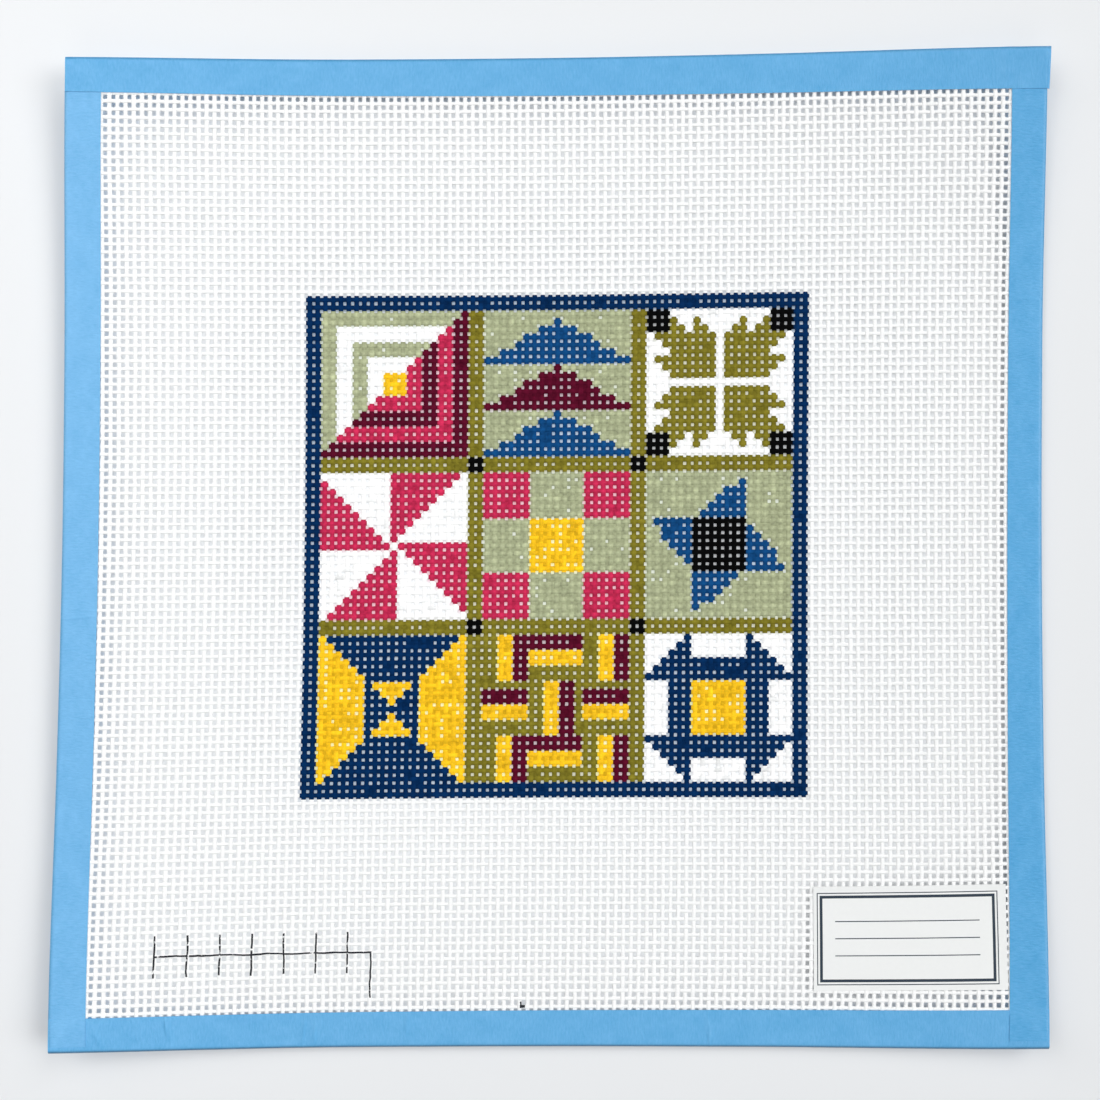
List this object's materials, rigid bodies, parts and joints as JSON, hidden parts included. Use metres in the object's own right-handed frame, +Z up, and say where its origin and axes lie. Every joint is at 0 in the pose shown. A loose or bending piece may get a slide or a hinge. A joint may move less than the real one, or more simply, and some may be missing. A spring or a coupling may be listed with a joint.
{
  "type": "needlepoint canvas",
  "caption": "Square of open-mesh needlepoint canvas with a painted patchwork square, cut edges bound in folded tape and a blank paper sticker, lying face up with curled edges.",
  "frame": {"origin": "middle of the plan, on the surface that the canvas rests on", "axes": "+Z up out of the painted face, +X towards the design's right-hand edge, +Y towards the design's top edge"},
  "size_m": [0.2486, 0.248, 0.0108],
  "materials": {
    "canvas_thread": "sized white cotton canvas with matt hand-painted colours",
    "binding_tape": "matt light-blue crepe paper tape",
    "sticker_paper": "smooth off-white paper label"
  },
  "bodies": {
    "root": {"canvas": "canvas_thread", "tape_top": "binding_tape", "tape_bottom": "binding_tape", "tape_left": "binding_tape", "tape_right": "binding_tape", "sticker": "sticker_paper"}
  },
  "joints": []
}
